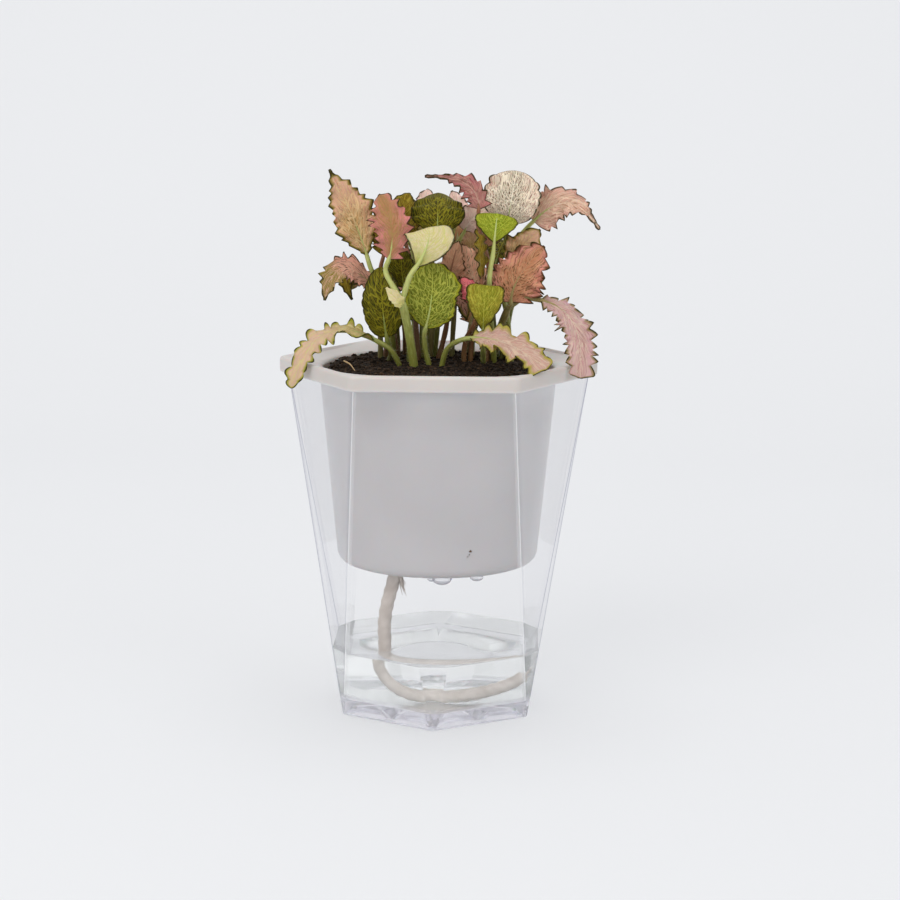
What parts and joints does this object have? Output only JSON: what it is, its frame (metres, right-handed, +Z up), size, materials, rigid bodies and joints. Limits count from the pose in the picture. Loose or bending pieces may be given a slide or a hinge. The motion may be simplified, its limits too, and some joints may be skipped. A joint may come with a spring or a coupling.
{
  "type": "potted nerve plant",
  "caption": "Nerve plant with pink and green net-veined leaves in a white liner pot with a six-sided rim, standing in a clear faceted water reservoir with a wick.",
  "frame": {"origin": "middle of the underside of the reservoir, on the surface that it stands on", "axes": "+Z up; -Y is the side seen in the picture, where a flat side of the six-sided rim and a corner of the foot face the viewer; +X to that viewer's right"},
  "size_m": [0.1132, 0.099, 0.1937],
  "materials": {
    "clear_plastic": "clear moulded plastic, glossy, colourless",
    "white_plastic": "white plastic, smooth, lets a little light through",
    "potting_soil": "moist dark potting soil, crumbly; stands for soil",
    "water": "clear still water; stands for water",
    "cotton": "wet grey-beige cotton cord, frayed",
    "leaf_tan": "tan and pink leaf with olive specks and a dark toothed margin; stands for living leaf",
    "leaf_rosy": "rosy leaf with darker veins; stands for living leaf",
    "leaf_cream": "cream and pink leaves, pale undersides; stands for living leaf",
    "leaf_green": "mid-green leaf with pale yellow-green net veins; stands for living leaf",
    "leaf_dark": "dark green leaf with yellow-green net veins; stands for living leaf",
    "leaf_olive": "olive and brown leaf; stands for living leaf",
    "leaf_spotted": "salmon leaf with dark green spots; stands for living leaf",
    "leaf_crimson": "crimson-pink leaf; stands for living leaf",
    "leaf_net": "pale pink leaf with a cream net over dark green; stands for living leaf",
    "leaf_pink": "pale pink leaf with olive margin; stands for living leaf"
  },
  "bodies": {
    "root": {"reservoir": "clear_plastic", "inner_pot": "white_plastic", "soil": "potting_soil", "water": "water", "wick": "cotton", "leaf_left_tall": "leaf_tan", "leaf_left_shy": "leaf_olive", "leaf_left_spotted": "leaf_spotted", "leaf_left_small": "leaf_olive", "leaf_front_dark": "leaf_dark", "leaf_front_broad": "leaf_green", "leaf_top_dark": "leaf_dark", "leaf_top_olive": "leaf_olive", "leaf_top_curl": "leaf_pink", "leaf_top_crimson": "leaf_crimson", "leaf_round_net": "leaf_net", "leaf_right_tan": "leaf_tan", "leaf_small_bright": "leaf_green", "leaf_edge_on": "leaf_olive", "leaf_right_tail": "leaf_pink", "leaf_front_green": "leaf_green", "leaf_centre_crimson": "leaf_crimson", "leaf_front_pink": "leaf_pink", "leaf_left_droop": "leaf_pink", "leaf_centre_olive": "leaf_olive", "leaf_centre_spotted": "leaf_spotted", "leaf_centre_salmon": "leaf_tan", "leaf_top_pale": "leaf_pink", "leaf_top_blush": "leaf_pink", "leaf_mid_dark": "leaf_dark", "leaf_low_brown": "leaf_spotted", "leaf_back_01": "leaf_green", "leaf_back_02": "leaf_rosy", "leaf_back_03": "leaf_dark", "leaf_back_04": "leaf_spotted", "leaf_back_05": "leaf_net", "leaf_back_06": "leaf_pink", "leaf_back_07": "leaf_green", "leaf_back_08": "leaf_green", "leaf_back_09": "leaf_rosy", "leaf_back_10": "leaf_tan", "leaf_back_11": "leaf_crimson", "leaf_back_12": "leaf_olive", "sprig_front": "leaf_cream", "sprig_right": "leaf_rosy"}
  },
  "joints": []
}
